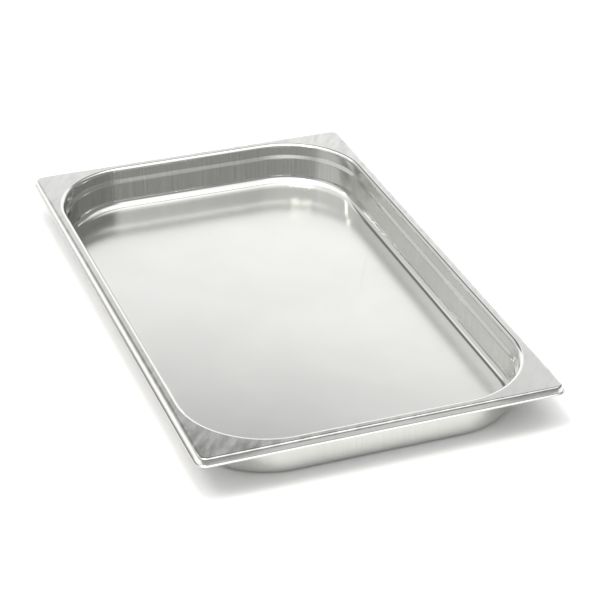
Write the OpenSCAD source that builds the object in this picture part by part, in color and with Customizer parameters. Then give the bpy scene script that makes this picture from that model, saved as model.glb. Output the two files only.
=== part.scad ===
// Shallow full-size food pan, deep-drawn in one piece from stainless sheet.
// Frame: origin at the centre of the underside, +Z up, +X across the pan, +Y along it.

/* [Pan] */
// Width over the rim's lip
pan_w = 325; // [250:1:400]
// Length over the rim's lip
pan_l = 530; // [400:1:650]
// Height from the underside to the top of the rim
pan_h = 40; // [38:1:100]
// Thickness of the sheet
sheet_t = 0.8; // [0.6:0.1:1]

/* [Rim] */
// Radius of the lip's outer corners
lip_corner_r = 10; // [9:0.5:14]
// How far the lip stands out past the foot of the skirt
lip_flare = 1.5; // [1.3:0.1:2]
// How far the skirt leans out from its top to its foot
skirt_lean = 1.8; // [1:0.1:2.2]
// Drop from the top of the rim to the top of the lip
lip_drop = 5.6; // [5:0.1:7]
// Bend radius at the skirt's top, on the sheet's middle
skirt_bend_r = 1.7; // [1.5:0.1:2]
// Bend radius between skirt and lip, on the sheet's middle
lip_bend_r = 1.2; // [1:0.1:1.4]

/* [Well] */
// Width of the rim, from the lip's edge to the well's wall
rim_w = 12.5; // [12:0.5:16]
// Corner radius of the well at its mouth
well_corner_r = 75; // [65:1:90]
// Bend radius where the rim turns down into the well, on the sheet's middle
mouth_bend_r = 3.1; // [2:0.1:3.3]
// Depth of the band above the stacking shoulder
band_h = 11; // [9:0.5:16]
// How far the shoulder steps into the well
shoulder_in = 2.2; // [1.8:0.1:3]
// Height of the shoulder's slope
shoulder_h = 3.9; // [3:0.1:4.5]
// Bend radius at the shoulder's two bends, on the sheet's middle
shoulder_bend_r = 1.8; // [1:0.1:2]
// Bend radius between the wall and the floor, on the sheet's middle
floor_bend_r = 8; // [6:0.5:10]
// Draft of the band above the shoulder, in degrees
band_draft = 2; // [1:0.5:4]
// Draft of the wall below the shoulder, in degrees
wall_draft = 2.7; // [1:0.1:6]

/* [Hidden] */

// Height of the sheet's middle where the rim is flat, and where the floor is
rim_z = pan_h - sheet_t / 2;
floor_z = sheet_t / 2;

// Radius that the well's outline turns its corners on, measured at the lip's edge
well_turn_r = well_corner_r + rim_w;

// Steps round each bend of the sheet, and round a full turn of a corner
bend_steps = 8;
corner_steps = 96;

// The swept rim and well run this far along the flat past their bends
flat_run = 2;
// The plates that fill the flats overlap the swept rim and well by this much
seam = 1;

// Outlines of the sheet's middle, as corners [inset from the lip's edge, height, bend radius]
lip_z = rim_z - lip_drop;
skirt_foot_x = lip_flare + sheet_t / 2;
skirt_top_x = skirt_foot_x + skirt_lean;
rim_flat_end = skirt_top_x + skirt_bend_r + flat_run;
RIM = [
    [0, lip_z, 0],
    [skirt_foot_x, lip_z, lip_bend_r],
    [skirt_top_x, rim_z, skirt_bend_r],
    [rim_flat_end, rim_z, 0]
];

mouth_x = rim_w - sheet_t / 2;
band_x = mouth_x + band_h * tan(band_draft);
shoulder_z = rim_z - band_h - shoulder_h;
wall_x = band_x + shoulder_in;
foot_x = wall_x + (shoulder_z - floor_z) * tan(wall_draft);
well_flat_start = mouth_x - mouth_bend_r - flat_run;
floor_flat_start = foot_x + floor_bend_r;
WELL = [
    [well_flat_start, rim_z, 0],
    [mouth_x, rim_z, mouth_bend_r],
    [band_x, rim_z - band_h, shoulder_bend_r],
    [wall_x, shoulder_z, shoulder_bend_r],
    [foot_x, floor_z, floor_bend_r],
    [floor_flat_start + seam, floor_z, 0]
];

function xy(p) = [p[0], p[1]];
function unit(v) = v / norm(v);
function left_of(v) = [-v[1], v[0]];
function cross_of(u, v) = u[0] * v[1] - u[1] * v[0];

// One side of the bend at corner b of an outline that runs a to b to c. The side lies
// off to the left of the sheet's middle by the distance side, or to the right if negative.
function bend(a, b, c, side) =
    let (
        u = unit(xy(b) - xy(a)),
        v = unit(xy(c) - xy(b)),
        way = sign(cross_of(u, v)),
        half = acos(u * v) / 2,
        centre = xy(b) + way * b[2] / cos(half) * unit(left_of(u) + left_of(v)),
        r = b[2] - way * side,
        start = atan2(-way * left_of(u)[1], -way * left_of(u)[0])
    )
    [for (i = [0:bend_steps]) let (g = start + way * 2 * half * i / bend_steps)
        centre + r * [cos(g), sin(g)]];

// Everything on one side of an outline
function side_points(path, side) =
    let (n = len(path))
    concat(
        [xy(path[0]) + side * left_of(unit(xy(path[1]) - xy(path[0])))],
        [for (i = [1:n - 2]) each bend(path[i - 1], path[i], path[i + 1], side)],
        [xy(path[n - 1]) + side * left_of(unit(xy(path[n - 1]) - xy(path[n - 2])))]
    );

function reversed(list) = [for (i = [len(list) - 1:-1:0]) list[i]];

// The sheet along an outline: both sides, half a thickness off the middle
function sheet(path) =
    concat(side_points(path, sheet_t / 2), reversed(side_points(path, -sheet_t / 2)));

// An outline swept round the pan, turning each corner on the radius turn_r at the lip's edge
module swept(path, turn_r) {
    outline = [for (p = sheet(path)) [turn_r - p[0], p[1]]];
    for (sx = [0, 1], sy = [0, 1])
        mirror([sx, 0, 0]) mirror([0, sy, 0])
            translate([pan_w / 2 - turn_r, pan_l / 2 - turn_r, 0])
                rotate_extrude(angle = 90, $fn = corner_steps) polygon(outline);
    for (s = [0, 1]) {
        mirror([s, 0, 0]) straight(outline, pan_w / 2 - turn_r, pan_l - 2 * turn_r);
        mirror([0, s, 0]) rotate(90) straight(outline, pan_l / 2 - turn_r, pan_w - 2 * turn_r);
    }
}

// A straight length of the swept sheet along Y
module straight(outline, x, length) {
    translate([x, length / 2, 0]) rotate([90, 0, 0]) linear_extrude(length) polygon(outline);
}

// A rectangle with round corners, inset from the lip's edge
module inset_shape(inset, turn_r) {
    w = pan_w - 2 * inset;
    l = pan_l - 2 * inset;
    r = turn_r - inset;
    square([w - 2 * r, l], center = true);
    square([w, l - 2 * r], center = true);
    for (x = [-1, 1], y = [-1, 1])
        translate([x * (w / 2 - r), y * (l / 2 - r)]) circle(r, $fn = corner_steps);
}

// The flat of the rim, from the skirt's bend to the mouth's, wide at the corners
module rim_plate() {
    translate([0, 0, rim_z - sheet_t / 2])
        linear_extrude(sheet_t) difference() {
            inset_shape(rim_flat_end - seam, lip_corner_r);
            inset_shape(well_flat_start + seam, well_turn_r);
        }
}

// The flat of the floor, inside the swept wall's foot
module floor_plate() {
    translate([0, 0, floor_z - sheet_t / 2])
        linear_extrude(sheet_t) inset_shape(floor_flat_start, well_turn_r);
}

// The whole pressing: one sheet, with no seam, handle or fastener on it
module pan() {
    color([0.78, 0.78, 0.77]) {
        swept(RIM, lip_corner_r);
        swept(WELL, well_turn_r);
        rim_plate();
        floor_plate();
    }
}

pan();
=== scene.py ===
"""The looks of a shallow full-size food pan, deep-drawn in one piece from stainless sheet.

The pan is one skin: a cross-section through the lip, skirt, flat rim, mouth, shoulder, wall and floor
is carried round the pan as closed rings, down the upper face of the sheet and back under it.
"""

import math

import bmesh
import bpy
import numpy as np
from mathutils import Matrix, Vector, noise


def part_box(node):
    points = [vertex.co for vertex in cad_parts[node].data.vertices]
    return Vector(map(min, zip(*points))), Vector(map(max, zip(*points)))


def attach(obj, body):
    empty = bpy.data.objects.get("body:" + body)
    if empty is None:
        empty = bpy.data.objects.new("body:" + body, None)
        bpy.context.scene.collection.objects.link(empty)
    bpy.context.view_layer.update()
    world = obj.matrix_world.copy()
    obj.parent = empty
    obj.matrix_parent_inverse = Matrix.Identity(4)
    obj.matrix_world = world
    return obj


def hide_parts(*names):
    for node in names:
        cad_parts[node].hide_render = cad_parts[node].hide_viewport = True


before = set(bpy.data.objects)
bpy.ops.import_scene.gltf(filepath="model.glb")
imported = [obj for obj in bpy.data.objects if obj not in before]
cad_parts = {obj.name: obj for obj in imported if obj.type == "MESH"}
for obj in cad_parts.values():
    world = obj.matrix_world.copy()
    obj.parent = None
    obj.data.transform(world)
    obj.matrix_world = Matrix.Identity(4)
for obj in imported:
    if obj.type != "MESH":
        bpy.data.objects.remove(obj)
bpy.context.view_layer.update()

MM = 0.001

# ---------------------------------------------------------------- the pan's section, in millimetres

low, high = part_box("pan")
HALF_X = (high.x - low.x) / 2 / MM
HALF_Y = (high.y - low.y) / 2 / MM
PAN_H = (high.z - low.z) / MM

SHEET = 0.8
LIP_CORNER_R = 10
LIP_FLARE = 1.5
SKIRT_LEAN = 1.8
LIP_DROP = 5.6
LIP_BEND_R = 1.2
SKIRT_BEND_R = 1.7
RIM_W = 12.5
WELL_CORNER_R = 75
MOUTH_BEND_R = 3.1
BAND_H = 11
BAND_DRAFT = math.radians(2)
SHOULDER_IN = 2.2
SHOULDER_H = 3.9
SHOULDER_BEND_R = 1.8
WALL_DRAFT = math.radians(2.7)
FLOOR_BEND_R = 8

FLOOR_FLAT_RUN = 1  # the last ring of the fillet lies this far along the flat of the floor
PLATE_MARGIN = 0.5  # and the flat rim starts and ends this far past its bends

RIM_Z = PAN_H - SHEET / 2
LIP_Z = RIM_Z - LIP_DROP
FLOOR_Z = SHEET / 2
SKIRT_FOOT_IN = LIP_FLARE + SHEET / 2
SKIRT_TOP_IN = SKIRT_FOOT_IN + SKIRT_LEAN
MOUTH_IN = RIM_W - SHEET / 2
BAND_IN = MOUTH_IN + BAND_H * math.tan(BAND_DRAFT)
WALL_IN = BAND_IN + SHOULDER_IN
SHOULDER_Z = RIM_Z - BAND_H - SHOULDER_H
FOOT_IN = WALL_IN + (SHOULDER_Z - FLOOR_Z) * math.tan(WALL_DRAFT)
FLOOR_START = FOOT_IN + FLOOR_BEND_R + FLOOR_FLAT_RUN

# The flat rim turns from the lip's small corners to the well's large ones between these insets.
PLATE_OUT = SKIRT_TOP_IN + SKIRT_BEND_R + PLATE_MARGIN
PLATE_IN = MOUTH_IN - MOUTH_BEND_R - PLATE_MARGIN

# (inset from the lip's edge, height, bend radius, zone) at each corner of the sheet's middle line
OUTER = [
    (SHEET / 2, LIP_Z, 0, "lip"),
    (SKIRT_FOOT_IN, LIP_Z, LIP_BEND_R, "skirt"),
    (SKIRT_TOP_IN, RIM_Z, SKIRT_BEND_R, "rim"),
    (PLATE_OUT, RIM_Z, 0, "rim"),
]
INNER = [
    (PLATE_IN, RIM_Z, 0, "rim"),
    (MOUTH_IN, RIM_Z, MOUTH_BEND_R, "band"),
    (BAND_IN, RIM_Z - BAND_H, SHOULDER_BEND_R, "shoulder"),
    (WALL_IN, SHOULDER_Z, SHOULDER_BEND_R, "wall"),
    (FOOT_IN, FLOOR_Z, FLOOR_BEND_R, "floor"),
    (FLOOR_START, FLOOR_Z, 0, "floor"),
]

ZONES = ["lip", "skirt", "rim", "band", "shoulder", "wall", "floor"]
STRAIGHT_STEP = 4.0  # longest step along a straight stretch of the section
GUARD = 0.35  # rings this close to each bend keep the shading of the flats even
BEND_STEP = math.radians(9)
LEAST_BEND_STEPS = 4


def corner_arc(before, at, after, radius):
    """Points and upward normals round one bend of the middle line, as (inset, height, normal) rows."""
    before, at, after = (np.array(p[:2], float) for p in (before, at, after))
    run_in = (at - before) / np.linalg.norm(at - before)
    run_out = (after - at) / np.linalg.norm(after - at)
    turn = math.atan2(run_in[0] * run_out[1] - run_in[1] * run_out[0], run_in @ run_out)
    left_in = np.array([-run_in[1], run_in[0]])
    side = math.copysign(1, turn)
    start = at - run_in * radius * math.tan(abs(turn) / 2)
    centre = start + left_in * side * radius
    steps = max(LEAST_BEND_STEPS, math.ceil(abs(turn) / BEND_STEP))
    rows = []
    for i in range(steps + 1):
        a = turn * i / steps
        c, s = math.cos(a), math.sin(a)
        normal = np.array([c * left_in[0] - s * left_in[1], s * left_in[0] + c * left_in[1]])
        rows.append((centre - normal * side * radius, normal))
    return rows


def section(path):
    """The middle line as rows of (point, upward normal, zone, how far into a bend from 0 to 1)."""
    rows = []
    for i, corner in enumerate(path):
        if corner[2]:
            arc = corner_arc(path[i - 1], corner, path[i + 1], corner[2])
        else:
            near = path[i + 1] if i == 0 else path[i - 1]
            run = np.array(near[:2], float) - np.array(corner[:2], float)
            run = run / np.linalg.norm(run) * (1 if i == 0 else -1)
            arc = [(np.array(corner[:2], float), np.array([-run[1], run[0]]))]
        if rows:
            start, normal = rows[-1][0], rows[-1][1]
            span = arc[0][0] - start
            length = np.linalg.norm(span)
            steps = max(1, math.ceil(length / STRAIGHT_STEP))
            marks = {GUARD, length - GUARD} if length > 3 * GUARD else set()
            marks |= set(np.linspace(0, length, steps + 1)[1:-1])
            for mark in sorted(marks):
                rows.append((start + span * mark / length, normal, path[i - 1][3], 0.0))
        for j, (point, normal) in enumerate(arc):
            inside = math.sin(math.pi * j / (len(arc) - 1)) if len(arc) > 1 else 0.0
            rows.append((point, normal, corner[3], inside))
    return rows


# ---------------------------------------------------------------- rings round the pan

CORNER_X = HALF_X - RIM_W - WELL_CORNER_R
CORNER_Y = HALF_Y - RIM_W - WELL_CORNER_R
WELL_TURN_R = WELL_CORNER_R + RIM_W
SMALL_X = WELL_TURN_R - LIP_CORNER_R  # the lip corner's centre, seen from the well corner's centre
FAN_REACH = WELL_TURN_R - LIP_CORNER_R / 2
FAN_STEPS = 14
TIP_STEPS = 8
END_STEPS = 16  # along the straights of the pan's two short sides
SIDE_STEPS = 26  # and of its two long sides
PLATE_RINGS = 14
FLOOR_RINGS = 26
EDGE_STEPS = 6
EDGE_ROUNDING = 0.6  # below 1 makes the cut edge squarer than a half circle
FLOOR_CROWN = 0.3  # how far the middle of the floor stands up
RIM_DISHING = 0.12  # deepest hollow pressed into the rim's corners
DISHING_START = 84  # where the hollow starts, from the well corner's centre
DISHING_RUN = 16  # and how much further out it is fully deep
SWELL_SIZE = 21  # size of the swells in the hollow
SWELL_SLICE = 3.7  # the level at which the swells are cut from the noise

TIP_ANGLE = math.atan2(SMALL_X, FAN_REACH)
FAN = [TIP_ANGLE * k / FAN_STEPS for k in range(FAN_STEPS)]
TIP = [TIP_ANGLE + (math.pi / 2 - 2 * TIP_ANGLE) * k / TIP_STEPS for k in range(TIP_STEPS + 1)]
TURNS = FAN + TIP + [math.pi / 2 - a for a in reversed(FAN)]


def well_corner(inset):
    """One quarter of a ring that follows the well, seen from the well corner's centre."""
    radius = WELL_TURN_R - inset
    return [(radius * math.cos(a), radius * math.sin(a)) for a in TURNS]


def rim_corner(inset):
    """One quarter of a ring that follows the lip, seen from the well corner's centre."""
    side = WELL_TURN_R - inset
    radius = LIP_CORNER_R - inset
    rise = [(side, FAN_REACH * math.tan(a)) for a in FAN]
    tip = []
    for k in range(TIP_STEPS + 1):
        a = math.pi / 2 * k / TIP_STEPS
        tip.append((SMALL_X + radius * math.cos(a), SMALL_X + radius * math.sin(a)))
    return rise + tip + [(y, x) for x, y in reversed(rise)]


def ring(corner):
    """A whole ring from one quarter: four corners joined by straight stretches, anticlockwise."""
    points = []
    for quarter in range(4):
        sx, sy = ((1, 1), (-1, 1), (-1, -1), (1, -1))[quarter]
        run = corner if sx * sy > 0 else list(reversed(corner))
        own = [(sx * (CORNER_X + x), sy * (CORNER_Y + y)) for x, y in run]
        points += own
        end = np.array(own[-1])
        across = quarter % 2 == 0
        steps = END_STEPS if across else SIDE_STEPS
        ahead = np.array([-end[0], end[1]]) if across else np.array([end[0], -end[1]])
        points += [tuple(end + (ahead - end) * k / steps) for k in range(1, steps)]
    return np.array(points)


def face_rings(side):
    """The rings of one face of the sheet: side is 1 for the upper face and -1 for the lower one.

    Each is (plan points, height, zone, bend), from the lip's edge to the foot of the floor's fillet.
    """
    rings = []
    for point, normal, zone, inside in section(OUTER):
        inset, height = point + normal * side * SHEET / 2
        rings.append((ring(rim_corner(inset)), height, zone, inside))
    inner = []
    for point, normal, zone, inside in section(INNER):
        inset, height = point + normal * side * SHEET / 2
        inner.append((ring(well_corner(inset)), height, zone, inside))
    outer_edge, inner_edge = rings[-1], inner[0]
    for k in range(1, PLATE_RINGS):
        share = k / PLATE_RINGS
        plan = outer_edge[0] * (1 - share) + inner_edge[0] * share
        rings.append((plan, outer_edge[1], "rim", 0.0))
    return rings + inner


def floor_rings(last):
    """Rings that close the floor inside the last one, shrinking to a small one round the middle."""
    plan, height = last[:2]
    rings = []
    for k in range(1, FLOOR_RINGS):
        share = 1 - k / FLOOR_RINGS
        rings.append((plan * share, height + FLOOR_CROWN * (1 - share**2) ** 2, "floor", 0.0))
    return rings


def cut_edge():
    """Rings round the sheet's cut edge, from the lower face of the lip to the upper one."""
    rings = []
    for k in range(1, EDGE_STEPS):
        a = math.pi * k / EDGE_STEPS
        inset = SHEET / 2 - SHEET / 2 * math.sin(a) ** EDGE_ROUNDING
        height = LIP_Z - SHEET / 2 * math.cos(a)
        rings.append((ring(rim_corner(inset)), height, "lip", 1.0))
    return rings


def dishing(x, y):
    """How far the rim's corner is pressed below the level of the rest of the rim, from 0 to 1."""
    reach = math.hypot(max(0, abs(x) - CORNER_X), max(0, abs(y) - CORNER_Y))
    out = max(0.0, min(1.0, (reach - DISHING_START) / DISHING_RUN))
    swell = 0.5 + 0.5 * noise.noise(Vector((x / SWELL_SIZE, y / SWELL_SIZE, SWELL_SLICE)))
    return out * out * (3 - 2 * out) * swell


def build_pan():
    """The pan's mesh, with the zone and the bend kept as attributes and the girth as a UV map."""
    under = face_rings(-1)
    upper = face_rings(1)
    below = list(reversed(under + floor_rings(under[-1])))
    rings = below + cut_edge() + upper + floor_rings(upper[-1])
    mesh = bmesh.new()
    zone_marks = {zone: mesh.verts.layers.float.new("zone_" + zone) for zone in ZONES}
    bend_mark = mesh.verts.layers.float.new("bend")
    under_mark = mesh.verts.layers.float.new("under")
    grid = []
    for i, (plan, height, zone, inside) in enumerate(rings):
        row = []
        for x, y in plan:
            drop = RIM_DISHING * dishing(x, y) if zone == "rim" and inside < 0.5 else 0
            vert = mesh.verts.new(Vector((x, y, height - drop)) * MM)
            vert[zone_marks[zone]] = 1.0
            vert[bend_mark] = inside
            vert[under_mark] = 1.0 if i < len(below) else 0.0
            row.append(vert)
        grid.append(row)
    girth_map = mesh.loops.layers.uv.new("girth")
    lip_ring = upper[0][0]
    steps = np.linalg.norm(np.roll(lip_ring, -1, axis=0) - lip_ring, axis=1)
    girth = np.concatenate([[0], np.cumsum(steps)]) * MM
    depth = [0.0]
    for (a, az, _, _), (b, bz, _, _) in zip(rings, rings[1:]):
        depth.append(depth[-1] + math.hypot(np.abs(a[-1] - b[-1]).max(), az - bz) * MM)
    count = len(lip_ring)
    for i in range(len(grid) - 1):
        for j in range(count):
            k = (j + 1) % count
            face = mesh.faces.new((grid[i][j], grid[i + 1][j], grid[i + 1][k], grid[i][k]))
            face.smooth = True
            places = ((j, i), (j, i + 1), (j + 1, i + 1), (j + 1, i))
            for loop, (u, v) in zip(face.loops, places):
                loop[girth_map].uv = (girth[u], depth[v])
    for row, height_sign in ((grid[0], -1), (grid[-1], 1)):
        hub = mesh.verts.new(sum((v.co for v in row), Vector()) / len(row))
        hub[zone_marks["floor"]] = 1.0
        hub[under_mark] = 1.0 if height_sign < 0 else 0.0
        for j in range(count):
            a, b = row[j], row[(j + 1) % count]
            face = mesh.faces.new((hub, a, b) if height_sign > 0 else (hub, b, a))
            face.smooth = True
    bmesh.ops.recalc_face_normals(mesh, faces=mesh.faces)
    data = bpy.data.meshes.new("pan_skin")
    mesh.to_mesh(data)
    mesh.free()
    pan = bpy.data.objects.new("pan_skin", data)
    bpy.context.scene.collection.objects.link(pan)
    return pan


# ---------------------------------------------------------------- material


STEEL_COLOUR = (0.690, 0.692, 0.673)
STEEL_ROUGHNESS = 0.11
# Heights of the relief in metres
GRAIN_RELIEF = 8e-7
CLOUD_RELIEF = 6e-5
RIM_RELIEF = 1e-6
WALL_RELIEF = 1e-6
SCRATCH_RELIEF = -5e-7


class Graph:
    """Short names for the shader nodes used here.

    An input is a number, a tuple or another node's output.
    """

    def __init__(self, tree):
        self.tree = tree

    def node(self, kind, inputs=None, **settings):
        made = self.tree.nodes.new("ShaderNode" + kind)
        for name, value in settings.items():
            setattr(made, name, value)
        for name, value in (inputs or {}).items():
            socket = made.inputs[name]
            if isinstance(value, bpy.types.NodeSocket):
                self.tree.links.new(value, socket)
            else:
                socket.default_value = value
        return made

    def math(self, operation, a, b=0.0):
        return self.node("Math", {0: a, 1: b}, operation=operation).outputs[0]

    def add(self, a, b):
        return self.math("ADD", a, b)

    def times(self, a, b):
        return self.math("MULTIPLY", a, b)

    def blend(self, a, b, share):
        """a where share is 0 and b where it is 1."""
        return self.node("Mix", {"Factor": share, 2: a, 3: b}, data_type="FLOAT").outputs[0]

    def ramp(self, value, start, end, to_start=0.0, to_end=1.0):
        """Smoothly from to_start, at value start, to to_end, at value end. Level beyond both."""
        inputs = {"Value": value, 1: start, 2: end, 3: to_start, 4: to_end}
        return self.node("MapRange", inputs, interpolation_type="SMOOTHSTEP").outputs[0]

    def noise(self, place, stretch, scale, detail, roughness):
        """Noise from 0 to 1 with its place scaled along each axis first."""
        where = self.node("VectorMath", {0: place, 1: stretch}, operation="MULTIPLY").outputs[0]
        inputs = {"Vector": where, "Scale": scale, "Detail": detail, "Roughness": roughness}
        return self.node("TexNoise", inputs).outputs[0]

    def turned(self, place, degrees):
        """The same place in axes turned about Z."""
        inputs = {"Vector": place, "Rotation": (0, 0, math.radians(degrees))}
        return self.node("Mapping", inputs).outputs[0]

    def mark(self, name):
        return self.node("Attribute", attribute_name=name).outputs["Fac"]


def stainless():
    """Cold-rolled stainless sheet: satin flats, brighter bends, a burnished rim and drawn walls."""
    material = bpy.data.materials.new("stainless")
    material.use_nodes = True
    material.node_tree.nodes.clear()
    g = Graph(material.node_tree)
    place = g.node("TexCoord").outputs["Object"]
    girth = g.node("UVMap", uv_map="girth").outputs[0]
    zone = {name: g.mark("zone_" + name) for name in ZONES}
    bend = g.mark("bend")
    under = g.mark("under")
    wall = g.add(zone["band"], g.add(zone["shoulder"], zone["wall"]))

    grain = g.noise(place, (1, 0.06, 1), 1400, 3, 0.6)
    cloud = g.noise(place, (1, 1, 1), 9, 3, 0.55)
    burnish = g.noise(g.turned(place, 35), (1, 0.25, 1), 130, 4, 0.6)
    drawn = g.noise(girth, (1, 0.04, 1), 420, 3, 0.6)
    scratch_a = g.ramp(g.noise(g.turned(place, 28), (1, 0.012, 1), 260, 1, 0.4), 0.76, 0.84)
    scratch_b = g.ramp(g.noise(g.turned(place, -12), (1, 0.010, 1), 310, 1, 0.4), 0.77, 0.85)
    scratches = g.times(g.add(scratch_a, scratch_b), g.add(zone["floor"], under))
    grain_swing = g.math("SUBTRACT", grain, 0.5)

    rough = g.add(STEEL_ROUGHNESS, g.times(zone["floor"], 0.08))
    rough = g.add(rough, g.times(zone["rim"], g.ramp(burnish, 0.35, 0.7, 0.04, 0.14)))
    rough = g.add(rough, g.times(wall, g.ramp(drawn, 0.3, 0.7, -0.02, 0.05)))
    rough = g.add(rough, g.times(under, 0.08))
    rough = g.add(rough, g.times(grain_swing, 0.06))
    rough = g.times(rough, g.ramp(bend, 0, 0.4, 1, 0.35))
    rough = g.add(rough, g.times(scratches, 0.03))

    tint = g.add(g.ramp(cloud, 0.3, 0.7, 0.97, 1.02), g.times(grain_swing, 0.05))
    tint = g.add(tint, g.times(zone["rim"], g.ramp(burnish, 0.3, 0.7, -0.32, -0.12)))
    tint = g.add(tint, g.times(wall, g.ramp(drawn, 0.3, 0.7, -0.05, 0.02)))
    tint = g.add(tint, g.times(scratches, -0.01))
    colour = g.node("VectorMath", {0: STEEL_COLOUR, "Scale": tint}, operation="SCALE").outputs[0]

    relief = g.add(g.times(grain, GRAIN_RELIEF), g.times(cloud, CLOUD_RELIEF))
    relief = g.add(relief, g.times(zone["rim"], g.times(burnish, RIM_RELIEF)))
    relief = g.add(relief, g.times(wall, g.times(drawn, WALL_RELIEF)))
    relief = g.add(relief, g.times(scratches, SCRATCH_RELIEF))
    bump = g.node("Bump", {"Height": relief, "Strength": 1.0, "Distance": 1.0}).outputs[0]

    inputs = {"Base Color": colour, "Metallic": 1.0, "Roughness": rough, "Normal": bump}
    shader = g.node("BsdfPrincipled", inputs).outputs[0]
    g.node("OutputMaterial", {"Surface": shader})
    return material


def pale_floor():
    """A matt, nearly white sheet for the pan to stand on."""
    material = bpy.data.materials.new("pale_floor")
    material.use_nodes = True
    material.node_tree.nodes.clear()
    g = Graph(material.node_tree)
    place = g.node("TexCoord").outputs["Object"]
    shade = g.ramp(g.noise(place, (1, 1, 1), 3, 2, 0.5), 0.3, 0.7, 0.90, 0.91)
    colour = g.node("CombineColor", {0: shade, 1: shade, 2: shade}).outputs[0]
    shader = g.node("BsdfPrincipled", {"Base Color": colour, "Roughness": 0.9}).outputs[0]
    g.node("OutputMaterial", {"Surface": shader})
    return material


# ---------------------------------------------------------------- studio

CAMERA_AZIMUTH = math.radians(-20.708)
CAMERA_ELEVATION = math.radians(30.139)
CAMERA_ROLL = math.radians(0.393)
CAMERA_DISTANCE = 1.842
CAMERA_TARGET = Vector((0.0021, -0.0533, high.z))
CAMERA_LENS = 124.14
CAMERA_SENSOR = 36
CAMERA_CLIP_END = 50
FLOOR_SIZE = 12.0
FLOOR_GAP = 0.0003  # keeps the floor and the pan's flat underside from sharing one plane
CEILING_LIGHT = 2.3
CEILING_START = 0.84  # sine of the elevation where the ceiling starts
CEILING_FULL = 0.92  # and where it is fully bright
LAMP_COLOUR = (1.0, 0.97, 0.90)
FAR_SLANT = -0.15  # the far wall's top edge climbs to the right
# Each quarter's light low down and higher up, and the sines of the elevations where it changes
QUARTERS = {
    "left": (0.85, 1.6, 0.46, 0.64),
    "right": (0.30, 1.2, 0.62, 0.80),
    "behind": (0.42, 1.6, 0.48, 0.60),
    "far": (1.42, 0.22, 0.545, 0.57),
}


def make_camera():
    """A long lens above the near left of the pan, looking along its length."""
    flat = math.cos(CAMERA_ELEVATION)
    sine, cosine = math.sin(CAMERA_AZIMUTH), math.cos(CAMERA_AZIMUTH)
    back = Vector((sine * flat, -cosine * flat, math.sin(CAMERA_ELEVATION)))
    data = bpy.data.cameras.new("camera")
    data.lens = CAMERA_LENS
    data.sensor_width = CAMERA_SENSOR
    data.clip_end = CAMERA_CLIP_END
    camera = bpy.data.objects.new("camera", data)
    bpy.context.scene.collection.objects.link(camera)
    place = Matrix.Translation(CAMERA_TARGET + back * CAMERA_DISTANCE)
    facing = back.to_track_quat("Z", "Y").to_matrix().to_4x4()
    camera.matrix_world = place @ facing @ Matrix.Rotation(CAMERA_ROLL, 4, "Z")
    bpy.context.scene.camera = camera


def make_floor():
    """The floor is one square under the pan."""
    mesh = bmesh.new()
    bmesh.ops.create_grid(mesh, x_segments=1, y_segments=1, size=FLOOR_SIZE / 2)
    data = bpy.data.meshes.new("floor")
    mesh.to_mesh(data)
    mesh.free()
    floor = bpy.data.objects.new("floor", data)
    floor.location.z = low.z - FLOOR_GAP
    bpy.context.scene.collection.objects.link(floor)
    floor.data.materials.append(pale_floor())


def make_world():
    """A pale studio in four quarters round the camera's own direction, under one bright ceiling."""
    world = bpy.data.worlds.new("studio")
    bpy.context.scene.world = world
    world.use_nodes = True
    world.node_tree.nodes.clear()
    g = Graph(world.node_tree)
    way = g.node("TexCoord").outputs["Generated"]
    height = g.node("SeparateXYZ", {0: way}).outputs[2]
    level = g.node("VectorMath", {0: way, 1: (1, 1, 0)}, operation="MULTIPLY").outputs[0]
    level = g.node("VectorMath", {0: level}, operation="NORMALIZE").outputs[0]
    sine, cosine = math.sin(CAMERA_AZIMUTH), math.cos(CAMERA_AZIMUTH)
    ahead, right = (
        g.node("VectorMath", {0: level, 1: along}, operation="DOT_PRODUCT").outputs["Value"]
        for along in ((-sine, cosine, 0), (cosine, sine, 0))
    )
    in_quarter = {
        "left": 1.0,
        "right": g.ramp(right, 0.45, 0.75),
        "behind": g.ramp(ahead, -0.50, -0.85),
        "far": g.ramp(ahead, 0.72, 0.92),
    }
    light = None
    for name, share in in_quarter.items():
        low_light, high_light, start, end = QUARTERS[name]
        rise = g.add(height, g.times(right, FAR_SLANT)) if name == "far" else height
        own = g.ramp(rise, start, end, low_light, high_light)
        light = own if light is None else g.blend(light, own, share)
    light = g.blend(light, CEILING_LIGHT, g.ramp(height, CEILING_START, CEILING_FULL))
    colour = g.node("CombineColor", {0: light, 1: light, 2: light}).outputs[0]
    shader = g.node("Background", {"Color": colour, "Strength": 1.0}).outputs[0]
    g.node("OutputWorld", {"Surface": shader})


def make_lamp(name, place, size, power):
    """A square soft light at place, pointed at the middle of the pan's underside."""
    data = bpy.data.lights.new(name, "AREA")
    data.shape = "SQUARE"
    data.size = size
    data.energy = power
    data.color = LAMP_COLOUR
    lamp = bpy.data.objects.new(name, data)
    bpy.context.scene.collection.objects.link(lamp)
    lamp.location = place
    lamp.rotation_euler = Vector(place).to_track_quat("Z", "Y").to_euler()


# ---------------------------------------------------------------- the scene

make_camera()
make_world()
make_floor()
make_lamp("far_left", (-1.36, 1.68, 1.25), 0.25, 0.7)
make_lamp("overhead_left", (-0.47, -0.36, 2.22), 0.4, 10)
make_lamp("side_left", (-1.15, -0.55, 1.95), 0.5, 8)

pan = build_pan()
pan.data.materials.append(stainless())
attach(pan, "root")
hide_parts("pan")

bpy.context.scene.view_settings.view_transform = "Standard"
